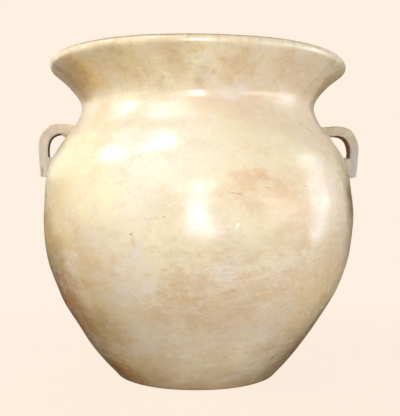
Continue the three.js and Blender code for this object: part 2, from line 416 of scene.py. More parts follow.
def revolved(name, rows, finish, closed=True):
    """Makes a closed ring or disc from its rows; flat is 1 or -1 before a flat seam face."""
    angles = np.arange(TURNS) * 2 * math.pi / TURNS
    vertices = []
    normals = []
    coats = []
    firsts = []
    for row in rows:
        firsts.append(len(vertices))
        on_axis = row.radius < AXIS_RADIUS
        turn = angles[:1] if on_axis else angles
        point = placed(turn, row.radius, row.height, row.relief)
        if on_axis:
            point[:, :2] = (drift(row.height), 0)
        vertices.extend(point.tolist())
        normals.extend(ring_normals(turn, row).tolist())
        coats.extend([row.coat] * len(turn))
    faces = []
    loop_normals = []
    for here in range(len(rows) if closed else len(rows) - 1):
        after = (here + 1) % len(rows)
        low, high = firsts[here], firsts[after]
        for i in range(TURNS):
            j = (i + 1) % TURNS
            corners = [low + i, low + j, high + j, high + i]
            if rows[here].radius < AXIS_RADIUS:
                corners = [low, high + j, high + i]
            if rows[after].radius < AXIS_RADIUS:
                corners = [low + i, low + j, high]
            faces.append(corners)
            if rows[here].flat:
                loop_normals.extend([(0, 0, rows[here].flat)] * len(corners))
            else:
                loop_normals.extend(normals[corner] for corner in corners)
    new_piece(name, vertices, faces, finish, {"coat_reach": coats}, loop_normals)


def smooth_rows(line, relief, coat, falling=False):
    """Rows for a line; coat is how far inside the coat's edge each point is, in metres."""
    line = line[::-1] if falling else line
    coats = np.broadcast_to(coat, len(line))
    return [
        Row(radius, height, tuple(way), relief, 0, float(reach))
        for (radius, height), way, reach in zip(line, tangents(line), coats)
    ]


def flat_after(rows, side):
    """Marks the faces that follow the last row as a flat seam face, up or down."""
    return [*rows[:-1], rows[-1]._replace(flat=side)]


# How the surface lies against the edge of the coat: deep inside it, or well past it
COATED = 0.1
UNCOATED = -0.1
COAT_PAST_LIP = 0.004


def wall_piece(name, low, high, finish):
    outer = smooth_rows(stretch(outside, low, high), outer_relief, COATED)
    inner = smooth_rows(stretch(inside, low, high), inner_relief, UNCOATED, falling=True)
    revolved(name, [*flat_after(outer, 1), *flat_after(inner, -1)], finish)


def neck_piece(name, finish):
    outer = smooth_rows(stretch(outside, NECK_SEAM, lip[0][1])[:-1], outer_relief, COATED)
    to_lip_end = np.arange(LIP_STEPS, -1, -1) * LIP_RADIUS * math.pi / LIP_STEPS
    arc = smooth_rows(lip, outer_relief, to_lip_end + COAT_PAST_LIP)
    inner_line = stretch(inside, NECK_SEAM, lip[-1][1])[:-1]
    gaps = np.linalg.norm(np.diff(inner_line[::-1], axis=0), axis=1)
    reach = COAT_PAST_LIP - np.cumsum(np.r_[0, gaps])
    inner = smooth_rows(inner_line, outer_relief, reach, falling=True)
    revolved(name, [*outer, *arc, *flat_after(inner, -1)], finish)


def floor_piece(name, finish):
    """The slab, from the middle of its underside round the foot to the middle of its top."""
    ease_end = (radius_at(outside, FOOT_EASE), FOOT_EASE)
    ease = bezier((BASE_RADIUS - FOOT_EASE, 0), (BASE_RADIUS, 0), ease_end, EASE_STEPS)
    under = np.linspace(0, BASE_RADIUS - FOOT_EASE, FLOOR_RINGS)[:-1]
    top = np.linspace(radius_at(inside, FLOOR_THICKNESS), 0, FLOOR_RINGS)
    rows = [Row(radius, 0, (1, 0), None, -1, UNCOATED) for radius in under]
    rows += smooth_rows(ease, None, np.linspace(-FOOT_EASE, FOOT_EASE, EASE_STEPS + 1))
    wall = smooth_rows(stretch(outside, FOOT_EASE, FLOOR_THICKNESS)[1:], outer_relief, COATED)
    rows += flat_after(wall, 1)
    rows += [Row(radius, FLOOR_THICKNESS, (-1, 0), None, 1, UNCOATED) for radius in top]
    revolved(name, rows, finish, closed=False)


def coil_piece(name, face, back, finish):
    """A band of soft clay: its uneven face, and its back sunk into the wall."""

    def finger_marks(angle, height):
        dabs = np.sin(38 * angle + 40 * height) * np.sin(17 * angle + 1.3)
        return FINGER_MARK_SIZE * dabs + 0.5 * inner_relief(angle, height)

    rows = smooth_rows(face, finger_marks, UNCOATED)
    rows += smooth_rows(back, inner_relief, UNCOATED)
    revolved(name, rows, finish)


def seam_coil(name, seam, finish):
    line = stretch(inside, seam - SEAM_COIL_HEIGHT / 2, seam + SEAM_COIL_HEIGHT / 2)
    arch = np.sin(math.pi * np.linspace(0, 1, len(line))) ** SEAM_COIL_FULLNESS
    face = moved_inwards(line, SEAM_COIL_THICKNESS * arch - COIL_EMBED / 2)[::-1]
    back = moved_inwards(line, -2 * COIL_EMBED)[1:-1]
    coil_piece(name, face, back, finish)


def corner_coil(name, finish):
    line = stretch(inside, FLOOR_THICKNESS, FLOOR_THICKNESS + CORNER_COIL_RISE)
    heel = line[0]
    toe = np.array([heel[0] - CORNER_COIL_RUN, FLOOR_THICKNESS])
    face = bezier(line[-1], heel + [-COIL_TUCK, COIL_TUCK], toe, COIL_STEPS)
    under = np.array([toe + [COIL_TUCK, -COIL_EMBED], heel + [0, -COIL_EMBED]])
    back = np.vstack([under, moved_inwards(line, -COIL_EMBED)[1:-1]])
    coil_piece(name, face, back, finish)


# Handles


def strap_line(root, corner, run_and_drop, foot):
    run, drop = run_and_drop
    bend_start = (corner[0] - run, corner[1])
    bend_end = (corner[0], corner[1] - drop)
    arm = np.linspace(root, bend_start, ARM_STEPS + 1)[:-1]
    bend = bezier(bend_start, corner, bend_end, BEND_STEPS)
    leg = np.linspace(bend_end, foot, LEG_STEPS + 1)[1:]
    return np.vstack([arm, bend, leg])


def strap_lines(handle):
    """The outer and the inner face of a strap, as radius and height."""
    underside = HANDLE_TOP - ARM_THICKNESS
    root = radius_at(outside, HANDLE_TOP) - STRAP_EMBED
    foot = radius_at(outside, HANDLE_CUT) + handle["proud"]
    reach = foot + handle["lean"]
    outer = strap_line(
        (root, HANDLE_TOP - ARM_ROOT_DROP), (reach, HANDLE_TOP), OUTER_CORNER, (foot, HANDLE_CUT)
    )
    # Above its root the arm runs up the wall in a small cove.
    wall = radius_at(outside, HANDLE_TOP)
    near = np.clip(1 - (outer[:, 0] - wall + FILLET_EMBED) / FILLET_REACH, 0, 1)
    arm = outer[:, 1] > HANDLE_TOP - OUTER_CORNER[1] / 2
    outer[:, 1] += handle["fillet"] * near**2 * arm
    inner = strap_line(
        (root, underside - ARM_ROOT_DROP),
        (reach - handle["leg"], underside),
        INNER_CORNER,
        (foot - handle["leg"], HANDLE_CUT - CUT_DROP),
    )
    return outer, inner


def rounded_section(half_thick, half_wide, edge):
    """A rounded rectangle, with x across the thickness and y across the width."""
    points = []
    corners = ((1, 1), (-1, 1), (-1, -1), (1, -1))
    for quarter, (wide_sign, thick_sign) in enumerate(corners):
        for step in range(STRAP_CORNER_STEPS):
            angle = (quarter + step / (STRAP_CORNER_STEPS - 1)) * math.pi / 2
            wide = wide_sign * (half_wide - edge) + edge * math.cos(angle)
            thick = thick_sign * (half_thick - edge) + edge * math.sin(angle)
            points.append(np.array([thick, wide]))
    section = []
    for point, after in zip(points, points[1:] + points[:1]):
        pieces = max(1, round(math.dist(point, after) / SECTION_GAP))
        section.extend(point + (after - point) * k / pieces for k in range(pieces))
    return section


def turned(points, handle):
    """Puts points given as radius, side and height on to the jar beside the handle's angle."""
    points = np.array(points)
    angle = handle["turn"]
    x = points[:, 0] * math.cos(angle) - points[:, 1] * math.sin(angle)
    y = points[:, 0] * math.sin(angle) + points[:, 1] * math.cos(angle)
    return np.column_stack([x + drift(points[:, 2]), y, points[:, 2]])


def clay_jitter(points, size, scale, seed):
    """Moves points a little, as clay that was shaped by fingers."""
    start = Vector((seed, seed, seed))
    shift = [noise.noise_vector(Vector(point) * scale + start) for point in points]
    return points + np.array(shift) * size


def loft_faces(rows, around):
    faces = []
    for row in range(rows - 1):
        for i in range(around):
            here = row * around + i
            beside = row * around + (i + 1) % around
            faces.append((here, beside, beside + around, here + around))
    faces.append(tuple(range(around))[::-1])
    faces.append(tuple(range((rows - 1) * around, rows * around)))
    return faces


def strap_marks(handle, along, depth, from_edge):
    """Depth is a share of the thickness; the way from the edge counts in edge radii."""
    in_loop = blend_share(0.24, 0.33, along) * (1 - blend_share(0.76, 0.79, along))
    facing_loop = blend_share(-0.40, -0.49, depth) * blend_share(0.5, 1.1, from_edge)
    return {
        "bare_share": facing_loop * in_loop,
        "merge_share": blend_share(0.22, 0.02, along),
        "rubbed_share": blend_share(-0.28, -0.42, depth) * blend_share(1.4, 0.4, from_edge),
        # How much painted shade falls on the bare clay in the loop
        "loop_shade_share": handle["loop_shade"],
    }


def strap_piece(side, handle, finish):
    outer, inner = strap_lines(handle)
    last = len(outer) - 1
    stations = [(face, back, (0.0, 0.0)) for face, back in zip(outer, inner)]
    stations += [(outer[-1], inner[-1], rounding) for rounding in CUT_ROUNDING]
    sections = []
    marks = []
    for i, (face, back, (shrink, drop)) in enumerate(stations):
        across = face - back
        thick = np.linalg.norm(across)
        across = across / thick
        ahead = np.array([across[1], -across[0]])
        root_share = max(0.0, 1 - i / ARM_STEPS)
        foot_share = min(max(0.0, (i - ARM_STEPS - BEND_STEPS) / LEG_STEPS), 1)
        width = (
            STRAP_WIDTH
            + (STRAP_ROOT_WIDTH - STRAP_WIDTH) * root_share**2
            + (STRAP_FOOT_WIDTH - STRAP_WIDTH) * foot_share
        )
        middle = (face + back) / 2 + ahead * drop
        half_thick, half_wide = thick / 2 - shrink, width / 2 - shrink
        for rise, wide in rounded_section(half_thick, half_wide, STRAP_EDGE - shrink / 2):
            point = middle + across * rise
            sections.append((point[0], wide, point[1]))
            from_edge = (width / 2 - abs(wide)) / STRAP_EDGE
            marks.append(strap_marks(handle, min(i / last, 1), rise / thick, from_edge))
    # Wider sections have more points, so the faces run on round the strap in a spiral.
    around = len(sections) // len(stations)
    vertices = clay_jitter(turned(sections, handle), *STRAP_WAVER, SEED + len(side))
    vertices = clay_jitter(vertices, *STRAP_GRAIN, SEED).tolist()
    faces = loft_faces(len(stations), around)
    values = {name: [point_marks[name] for point_marks in marks] for name in marks[0]}
    new_piece(f"handle_{side}", vertices, faces, finish, values)


def pressed_clay(name, handle, sections, around, grain, merge, finish):
    """A wedge of soft clay; merge is how much it takes after the wall."""
    vertices = clay_jitter(turned(sections, handle), *grain, SEED).tolist()
    faces = [face[::-1] for face in loft_faces(len(sections) // around, around)]
    marks = {"bare_share": [0.0] * len(sections), "merge_share": [merge] * len(sections)}
    new_piece(name, vertices, faces, finish, marks)


def root_wedge(side, handle, finish):
    """A cove of clay under the root of the arm; it thins out towards both of its ends."""
    underside = HANDLE_TOP - ARM_THICKNESS
    body = radius_at(outside, underside)
    low = underside - ROOT_WEDGE_DROP
    low_radius = radius_at(outside, low)
    run, fall = ROOT_WEDGE_BEND
    corner = np.array([body - WEDGE_EMBED, underside + ROOT_WEDGE_RISE])
    front = bezier(
        (body + ROOT_WEDGE_REACH, underside + ROOT_WEDGE_SKIN),
        ((body + low_radius) / 2 + run, underside + fall),
        (low_radius - ROOT_WEDGE_SKIN, low),
        WEDGE_STEPS,
    )
    outline = np.vstack([front, [corner]])
    sections = []
    for side_share in np.linspace(-1, 1, 2 * WEDGE_STEPS + 1):
        fullness = math.sqrt(max(0.0, 1 - abs(side_share) ** 3))
        size = WEDGE_END_SIZE + (1 - WEDGE_END_SIZE) * fullness
        for point in corner + (outline - corner) * size:
            sections.append((point[0], side_share * STRAP_WIDTH / 2, point[1]))
    name = f"root_wedge_{side}"
    pressed_clay(name, handle, sections, len(outline), ROOT_WEDGE_GRAIN, 0.0, finish)


def foot_wedge(side, handle, finish):
    """Clay that fills the space between the foot of the strap and the belly."""
    _, inner = strap_lines(handle)
    rising = inner[::-1]
    depths = np.linspace(0, 1, WEDGE_DEPTH_POINTS)
    widths = np.linspace(1, -1, WEDGE_WIDTH_POINTS)[1:-1]
    levels = np.linspace(HANDLE_CUT + FOOT_WEDGE_RISE, FOOT_WEDGE_TOP, WEDGE_STEPS + 1)
    sections = []
    for i, level in enumerate(levels):
        share = i / WEDGE_STEPS
        back = radius_at(outside, level) - WEDGE_EMBED
        front = radius_at(rising, level) + WEDGE_EMBED
        half = FOOT_WEDGE_HALF_WIDTH - FOOT_WEDGE_TAPER * share
        sag = FOOT_WEDGE_SAG * share**3 * np.sin(math.pi * depths)
        flank = list(zip(back + (front - back) * depths, level - sag))
        sections += [(reach, half, height) for reach, height in flank]
        sections += [(front, half * width, level) for width in widths]
        sections += [(reach, -half, height) for reach, height in flank[::-1]]
        sections += [(back, -half * width, level) for width in widths]
    around = len(sections) // len(levels)
    name = f"foot_wedge_{side}"
    pressed_clay(name, handle, sections, around, FOOT_WEDGE_GRAIN, FOOT_WEDGE_MERGE, finish)


# Materials


def linear(red, green, blue):
    """A colour given as it looks on screen, from 0 to 255, as Blender's linear values."""
    values = [channel / 255 for channel in (red, green, blue)]
    return (*[v / 12.92 if v <= 0.04045 else ((v + 0.055) / 1.055) ** 2.4 for v in values], 1)


CREAM = linear(242, 229, 206)
BUTTER = linear(250, 238, 204)
TAN = linear(232, 207, 184)
OCHRE = linear(214, 182, 136)
# An umber for mottle and wear, also used for painted shade at the edges and round the foot
UMBER_AND_SHADE = linear(160, 126, 88)
LILAC = linear(244, 236, 229)
BROWN = linear(120, 82, 56)
BARE_CLAY = linear(140, 84, 62)
DARK_CLAY = linear(98, 56, 42)
PALE_CLAY = linear(168, 112, 86)
HANDLE_GREY = linear(198, 180, 156)
HANDLE_PALE = linear(218, 203, 184)
# A chalky white for flecks, also used for painted light on the shoulder
CHALK_AND_PAINTED_LIGHT = linear(251, 246, 228)
SAND = linear(216, 183, 122)
OLIVE = linear(170, 137, 82)
# A pale tone for painted light on the shoulder
PAINTED_LIGHT_IVORY = linear(253, 241, 202)
RUST = linear(168, 104, 74)
STRAW = linear(238, 216, 164)
BLUSH = linear(226, 178, 140)
HANDLE_RUB = linear(214, 208, 206)
LOOP_CLAY = linear(148, 98, 88)
HANDLE_LILAC = linear(188, 184, 186)
HANDLE_SHADE = linear(156, 148, 144)
ROOT_TAN = linear(236, 216, 180)
GOLD = linear(240, 205, 140)
BURNT = linear(184, 132, 74)
# A dark tone for painted shade at the edges
PAINTED_SHADE_SEPIA = linear(132, 102, 68)
# The painted shade of the bare clay inside a loop
SHADED_LOOP_CLAY = linear(84, 54, 40)
APRICOT = linear(225, 189, 138)
BACKDROP = linear(255, 240, 225)
FLOOR_TONE = linear(140, 132, 124)


class NodeTree:
    """Adds shader nodes to a material or a world."""

    def __init__(self, owner, output):
        owner.use_nodes = True
        self.owner = owner
        self.tree = owner.node_tree
        self.tree.nodes.clear()
        self.output = self.tree.nodes.new("ShaderNode" + output)

    def add(self, kind, inputs=(), **settings):
        """A new node's outputs; inputs pairs each socket with a value or another's output."""
        node = self.tree.nodes.new("ShaderNode" + kind)
        for key, value in settings.items():
            setattr(node, key, value)
        self.put(node, inputs)
        return node.outputs

    def put(self, node, inputs):
        for socket, value in dict(inputs).items():
            if isinstance(value, bpy.types.NodeSocket):
                self.tree.links.new(value, node.inputs[socket])
            else:
                node.inputs[socket].default_value = value

    def math(self, operation, *values):
        return self.add("Math", enumerate(values), operation=operation)[0]

    def times(self, first, second):
        return self.math("MULTIPLY", first, second)

    def finish_mixed(self, share, first, second):
        """Ends the tree in two shaders, with this share of the second."""
        mixed = self.add("MixShader", {0: share, 1: first, 2: second})
        self.put(self.output, {"Surface": mixed[0]})

    def seen(self, rays):
        """1 for what the camera sees, also in a mirror or through glass, and 0 for light."""
        share = self.math("MAXIMUM", rays["Is Camera Ray"], rays["Is Glossy Ray"])
        return self.math("MAXIMUM", share, rays["Is Transmission Ray"])


class Painter(NodeTree):
    """Paints a new material, by places on the jar, in layers of colour."""

    def __init__(self, name):
        super().__init__(bpy.data.materials.new(name), "OutputMaterial")
        self.shader = self.tree.nodes.new("ShaderNodeBsdfPrincipled")
        self.put(self.output, {"Surface": self.shader.outputs["BSDF"]})
        self.place = self.add("TexCoord")["Object"]

    def vector_math(self, operation, *values):
        outputs = self.add("VectorMath", enumerate(values), operation=operation)
        return outputs["Value" if operation in ("DISTANCE", "LENGTH") else "Vector"]

    def along(self, axis):
        return self.add("SeparateXYZ", {0: self.place})[axis]

    def stretched(self, scale, start=(0, 0, 0), turn=(0, 0, 0)):
        inputs = {"Vector": self.place, "Scale": scale, "Location": start, "Rotation": turn}
        return self.add("Mapping", inputs)[0]

    def noise(self, scale, detail, roughness, vector=None, distortion=0.0):
        inputs = {
            "Vector": self.place if vector is None else vector, "Scale": scale,
            "Detail": detail, "Roughness": roughness, "Distortion": distortion,
        }
        return self.add("TexNoise", inputs)["Fac"]

    def centred(self, value, size):
        """A value from 0 to 1 as one round zero, times this size."""
        return self.times(self.math("SUBTRACT", value, 0.5), size)

    def ramp(self, value, low, high, bottom=0.0, top=1.0):
        inputs = enumerate((value, low, high, bottom, top))
        return self.add("MapRange", inputs, interpolation_type="SMOOTHSTEP")[0]

    def mix(self, share, first, second):
        return self.add("Mix", {0: share, 6: first, 7: second}, data_type="RGBA")[2]

    def cover(self, share, tint):
        """Lays a tint over the colour that the painter has so far."""
        self.colour = self.mix(share, self.colour, tint)

    def tint(self, value, low, high, strength, tint):
        """Lays on a tint that comes in as the value goes from low to high."""
        self.cover(self.ramp(value, low, high, 0, strength), tint)

    def mark(self, name):
        return self.add("Attribute", attribute_name=name)["Fac"]

    def bump(self, height, distance, under=()):
        """The normal with these bumps over the ones under them."""
        inputs = {"Height": height, "Distance": distance, **dict(under)}
        return {"Normal": self.add("Bump", inputs)[0]}


def on_surface(degrees, height):
    angle = math.radians(degrees)
    radius = float(radius_at(outside, height))
    return (radius * math.cos(angle), radius * math.sin(angle), height)


# Soft washes of the finish, which also paint light high on the shoulder, brightest on the left, and
# shade low on the left: angle in degrees, height, spread in metres, colour, strength
WASHES_WITH_LIGHT_AND_SHADE = (
    # Painted light on the shoulder, brightest high on the left
    (-118, 0.35, 0.12, CHALK_AND_PAINTED_LIGHT, 0.9),
    (-140, 0.345, 0.09, PAINTED_LIGHT_IVORY, 0.85),
    (-160, 0.345, 0.07, PAINTED_LIGHT_IVORY, 0.9),
    (-95, 0.352, 0.07, CHALK_AND_PAINTED_LIGHT, 0.65),
    (-112, 0.3, 0.075, CHALK_AND_PAINTED_LIGHT, 0.6),
    (-130, 0.285, 0.07, PAINTED_LIGHT_IVORY, 0.8),
    (-60, 0.35, 0.08, BUTTER, 0.6),
    (-150, 0.285, 0.055, STRAW, 0.75),
    (-152, 0.225, 0.065, STRAW, 0.95),
    (-165, 0.24, 0.06, GOLD, 0.7),
    # Painted shade low on the left, with burnt and golden tones there
    (-163, 0.11, 0.085, BURNT, 0.85),
    (-149, 0.1, 0.036, BURNT, 0.6),
    (-137, 0.112, 0.03, OLIVE, 0.4),
    (-140, 0.028, 0.045, GOLD, 0.8),
    (-150, 0.02, 0.04, BURNT, 0.9),
    (-134, 0.012, 0.03, BURNT, 0.6),
    # A yellow tone, then painted shade at the left edge
    (-140, 0.15, 0.05, STRAW, 0.5),
    (-165, 0.17, 0.06, OLIVE, 0.7),
    # Further washes round the jar
    (-90, 0.12, 0.11, TAN, 0.4),
    (-60, 0.08, 0.08, TAN, 0.4),
    (-120, 0.035, 0.055, TAN, 0.55),
    (-90, 0.01, 0.05, OCHRE, 0.5),
    (-70, 0.012, 0.05, OCHRE, 0.4),
    (-131, 0.072, 0.035, LILAC, 0.35),
    (-120, 0.15, 0.03, LILAC, 0.4),
    (-75, 0.415, 0.045, TAN, 0.75),
    (-92, 0.422, 0.035, TAN, 0.55),
    (-125, 0.428, 0.04, BUTTER, 0.7),
    (-120, 0.47, 0.05, STRAW, 0.75),
    (-145, 0.465, 0.06, GOLD, 0.95),
    (-165, 0.46, 0.06, BURNT, 0.5),
    (-50, 0.462, 0.045, TAN, 0.5),
    (-20, 0.462, 0.045, OLIVE, 0.45),
    (-32, 0.25, 0.06, TAN, 0.4),
    (0, 0.27, 0.06, BURNT, 0.5),
    (20, 0.3, 0.06, OCHRE, 0.45),
    (60, 0.15, 0.06, TAN, 0.55),
    (85, 0.34, 0.07, BUTTER, 0.6),
    (175, 0.12, 0.06, OLIVE, 0.4),
    (120, 0.46, 0.04, TAN, 0.5),
)

# Places rubbed with a nearly dry brush, which took on the streaks; given in the same way
RUBS = (
    (-86, 0.188, 0.024, LILAC, 0.7),
    (-95, 0.182, 0.014, LILAC, 0.5),
    (-114, 0.211, 0.008, LILAC, 0.8),
    (-130, 0.176, 0.013, LILAC, 0.55),
    (-111, 0.153, 0.016, LILAC, 0.55),
    (-58, 0.15, 0.024, LILAC, 0.5),
    (-66, 0.178, 0.022, LILAC, 0.45),
    (-79, 0.434, 0.03, LILAC, 0.65),
    (-94, 0.468, 0.024, LILAC, 0.4),
    (-100, 0.148, 0.055, OCHRE, 0.35),
    (-88, 0.125, 0.05, OCHRE, 0.38),
    (-76, 0.152, 0.04, OCHRE, 0.28),
    (-112, 0.118, 0.04, OCHRE, 0.35),
    (-135, 0.19, 0.05, SAND, 0.4),
    (-150, 0.15, 0.05, BURNT, 0.5),
    (-146, 0.035, 0.035, BURNT, 0.55),
    (-66, 0.298, 0.04, BLUSH, 0.45),
    (-80, 0.303, 0.03, BLUSH, 0.5),
    (-50, 0.3, 0.03, BLUSH, 0.5),
    (-73, 0.312, 0.018, BLUSH, 0.55),
    (-58, 0.24, 0.04, BLUSH, 0.25),
    (-45, 0.205, 0.045, BLUSH, 0.3),
    (-80, 0.466, 0.04, OCHRE, 0.45),
    (-104, 0.462, 0.035, OCHRE, 0.45),
    (-92, 0.452, 0.022, BURNT, 0.35),
    (-60, 0.47, 0.035, OCHRE, 0.35),
    (110, 0.2, 0.04, LILAC, 0.6),
    (140, 0.3, 0.06, OCHRE, 0.45),
    (70, 0.25, 0.05, OCHRE, 0.4),
    (35, 0.455, 0.04, OCHRE, 0.45),
    (10, 0.16, 0.05, SAND, 0.4),
)

# Darker patches, given in the same way: painted shade along the right and left edges, low on the
# right, round the foot and at the lower left, and darker tones of the finish on the flare, belly
# and neck
SHADE_AND_DARK_PATCHES = (
    # Darker tones on the flare
    (-160, 0.462, 0.06, OLIVE, 0.4),
    (-148, 0.472, 0.03, OLIVE, 0.35),
    # Painted shade at the lower left, with a warmer tone there
    (-158, 0.1, 0.1, BURNT, 0.5),
    (-138, 0.085, 0.06, OLIVE, 0.5),
    (-132, 0.11, 0.085, SAND, 0.45),
    (-128, 0.018, 0.085, SAND, 0.6),
    (-150, 0.008, 0.08, BURNT, 0.55),
    (-165, 0.04, 0.07, PAINTED_SHADE_SEPIA, 0.25),
    # Painted shade round the foot
    (-95, 0.0, 0.035, OCHRE, 0.5),
    (-110, 0.0, 0.035, OCHRE, 0.5),
    (-70, 0.0, 0.04, OCHRE, 0.55),
    (-38, 0.015, 0.1, UMBER_AND_SHADE, 0.35),
    # Painted shade along the right edge
    (-17, 0.322, 0.038, PAINTED_SHADE_SEPIA, 0.5),
    (-25, 0.278, 0.05, PAINTED_SHADE_SEPIA, 0.72),
    (-17, 0.238, 0.05, UMBER_AND_SHADE, 0.5),
    (-24, 0.195, 0.04, UMBER_AND_SHADE, 0.35),
    # Darker tones on the belly
    (-42, 0.14, 0.11, GOLD, 0.45),
    (-66, 0.256, 0.062, OCHRE, 0.55),
    # Painted shade at the left edge
    (-154, 0.195, 0.045, OLIVE, 0.5),
    # Darker tones on the neck and under the lip
    (-142, 0.404, 0.035, SAND, 0.45),
    (-128, 0.486, 0.05, OCHRE, 0.4),
    (-104, 0.488, 0.05, OCHRE, 0.45),
    # Painted shade low on the right
    (-16, 0.035, 0.14, UMBER_AND_SHADE, 0.8),
    (-14, 0.035, 0.07, PAINTED_SHADE_SEPIA, 0.6),
    (-18, 0.1, 0.06, UMBER_AND_SHADE, 0.5),
    (-14, 0.155, 0.05, UMBER_AND_SHADE, 0.5),
)

# Small marks: angle, height, half their length round the jar, half their height, colour, strength
MARKS = (
    (-115.5, 0.234, 0.0022, 0.0018, RUST, 0.75),
    (-115, 0.226, 0.003, 0.007, BLUSH, 0.45),
    (-105, 0.257, 0.0014, 0.0012, BROWN, 0.6),
    (-96, 0.3, 0.0016, 0.0012, BROWN, 0.5),
    (-98, 0.492, 0.0016, 0.002, BROWN, 0.85),
    (-84, 0.2885, 0.004, 0.0006, RUST, 0.45),
    (-82, 0.2875, 0.005, 0.0007, RUST, 0.5),
    (-80.6, 0.289, 0.0022, 0.0005, RUST, 0.4),
    (-73, 0.296, 0.006, 0.0008, RUST, 0.35),
    (-70, 0.301, 0.003, 0.0007, RUST, 0.35),
    (-58, 0.299, 0.005, 0.0009, RUST, 0.4),
    (-114.8, 0.2365, 0.0009, 0.0015, RUST, 0.5),
    (-45, 0.492, 0.003, 0.002, BLUSH, 0.8),
)

# Noise in the finish: scale, detail, roughness, stretch, start and distortion
FINISH_NOISE = {
    "streaks": (30, 9, 0.68, (1, 1, 2.4), (4, 2, 9), 0.35),
    "fibres": (95, 8, 0.74, (1, 1, 2.8), (1, 7, 3), 0.2),
    "cloud": (5.0, 4, 0.55, (1, 1, 1.5), (0, 0, 0), 0.4),
    "warm": (3.2, 3, 0.5, (1, 1, 1.2), (3, 1, 7), 0),
    "ochre": (14, 8, 0.66, (1, 1, 2.0), (9, 4, 2), 0.6),
    "pink": (9.5, 7, 0.64, (1, 1, 1.6), (2, 8, 5), 0.5),
    "chalk": (21, 7, 0.62, (1, 1, 1.3), (6, 3, 8), 0.5),
    "dabs": (48, 6, 0.62, (1, 1, 1.7), (5, 5, 1), 0.6),
    "sponge": (150, 7, 0.78, (1, 1, 1.5), (7, 2, 2), 0.3),
    "cluster": (13, 5, 0.6, (1, 1, 1.5), (2, 6, 4), 0.4),
    "flakes": (85, 8, 0.75, (1, 1, 1.4), (8, 8, 1), 0.3),
    "pools": (16, 4, 0.6, (1, 1, 1.3), (6, 3, 8), 0.5),
    "drips": (34, 7, 0.7, (1.6, 1.6, 0.35), (1, 3, 0), 0.3),
}
# How deep the tool strokes, the skin, the pits and the grain of bare clay are
STROKE_DEPTH = 0.00006
SKIN_DEPTH = 0.00007
PIT_DEPTH = 0.0003
GRAIN_DEPTH = 0.0012
# The coat ends raggedly, and is worn through along the lip, most of all where it is taken hold of
COAT_EDGE = 0.0015
COAT_RAGGEDNESS = 0.016
WORN_REACH = (0.0190, 0.0150)
HELD_PLACE = (-115, 0.49)
# The heights between which the handles' coat turns lilac, going down
LILAC_LEVELS = (0.385, 0.352)


def wash(paint, washes, torn):
    for degrees, height, spread, tint, strength in washes:
        distance = paint.vector_math("DISTANCE", paint.place, on_surface(degrees, height))
        nearness = paint.math("MULTIPLY_ADD", distance, -1 / spread, torn)
        paint.tint(nearness, -1.0, -0.2, strength, tint)


def cream_layers(paint):
    """The mottled colour of the antique finish, rubbed on in short strokes round the jar, with
    painted light and shade washed over it.
    """
    field = {
        name: paint.noise(scale, detail, roughness, paint.stretched(stretch, start), distortion)
        for name, (scale, detail, roughness, stretch, start, distortion) in FINISH_NOISE.items()
    }
    grain = paint.noise(320, 3, 0.7)
    paint.colour = paint.mix(paint.ramp(field["warm"], 0.38, 0.62), CREAM, BUTTER)
    paint.tint(field["pink"], 0.46, 0.66, 0.45, TAN)
    paint.tint(field["ochre"], 0.50, 0.72, 0.40, OCHRE)
    paint.tint(field["cloud"], 0.60, 0.78, 0.20, UMBER_AND_SHADE)
    ragged = paint.centred(field["streaks"], 2.6)
    soft = paint.times(ragged, 0.35)
    # These washes also paint light high on the shoulder and shade low on the left.
    wash(paint, WASHES_WITH_LIGHT_AND_SHADE, soft)
    wash(paint, RUBS, ragged)
    level = paint.along("Z")
    on_flare = paint.ramp(level, NECK_HEIGHT, NECK_HEIGHT + 0.03)
    paint.cover(paint.times(paint.ramp(field["drips"], 0.48, 0.68, 0, 0.55), on_flare), SAND)
    paint.tint(field["chalk"], 0.52, 0.74, 0.28, LILAC)
    lower_half = paint.ramp(level, BELLY_HEIGHT + 0.06, BELLY_HEIGHT - 0.08, 0.25, 0.50)
    sponged = paint.math("ADD", paint.centred(field["cluster"], 0.9), field["sponge"])
    paint.cover(paint.times(paint.ramp(sponged, 0.49, 0.66), lower_half), APRICOT)
    flaked = paint.math("ADD", paint.centred(field["pools"], 1.1), field["flakes"])
    paint.tint(flaked, 0.60, 0.72, 0.42, LILAC)
    # Painted shade along the edges and round the foot, with darker patches of the finish
    wash(paint, SHADE_AND_DARK_PATCHES, soft)
    calm = paint.ramp(level, BELLY_HEIGHT + 0.09, BELLY_HEIGHT - 0.03, 0.5, 1.0)
    calm = paint.math("MAXIMUM", calm, on_flare)
    for name, low, high, strength, tint in (
        ("dabs", 0.52, 0.72, 0.30, OCHRE),
        ("dabs", 0.48, 0.28, 0.30, CHALK_AND_PAINTED_LIGHT),
        ("fibres", 0.52, 0.74, 0.34, OCHRE),
        ("fibres", 0.50, 0.26, 0.32, CHALK_AND_PAINTED_LIGHT),
    ):
        paint.cover(paint.times(paint.ramp(field[name], low, high, 0, strength), calm), tint)
    paint.tint(grain, 0.3, 0.75, 0.10, OCHRE)
    for degrees, height, long, tall, tint, strength in MARKS:
        offset = paint.vector_math("SUBTRACT", paint.place, on_surface(degrees, height))
        scaled = paint.vector_math("MULTIPLY", offset, (1 / long, 1 / long, 1 / tall))
        paint.tint(paint.vector_math("LENGTH", scaled), 1.3, 0.5, strength, tint)
    return paint.colour


def clay_layers(paint):
    """The colour of bare fired clay."""
    broad = paint.noise(9, 5, 0.6)
    fine = paint.noise(160, 4, 0.7)
    rings = paint.noise(30, 4, 0.6, paint.stretched((0.25, 0.25, 4)))
    paint.colour = paint.mix(paint.ramp(broad, 0.35, 0.65), BARE_CLAY, PALE_CLAY)
    paint.tint(rings, 0.5, 0.75, 0.5, DARK_CLAY)
    paint.tint(fine, 0.55, 0.8, 0.45, PALE_CLAY)
    return paint.colour


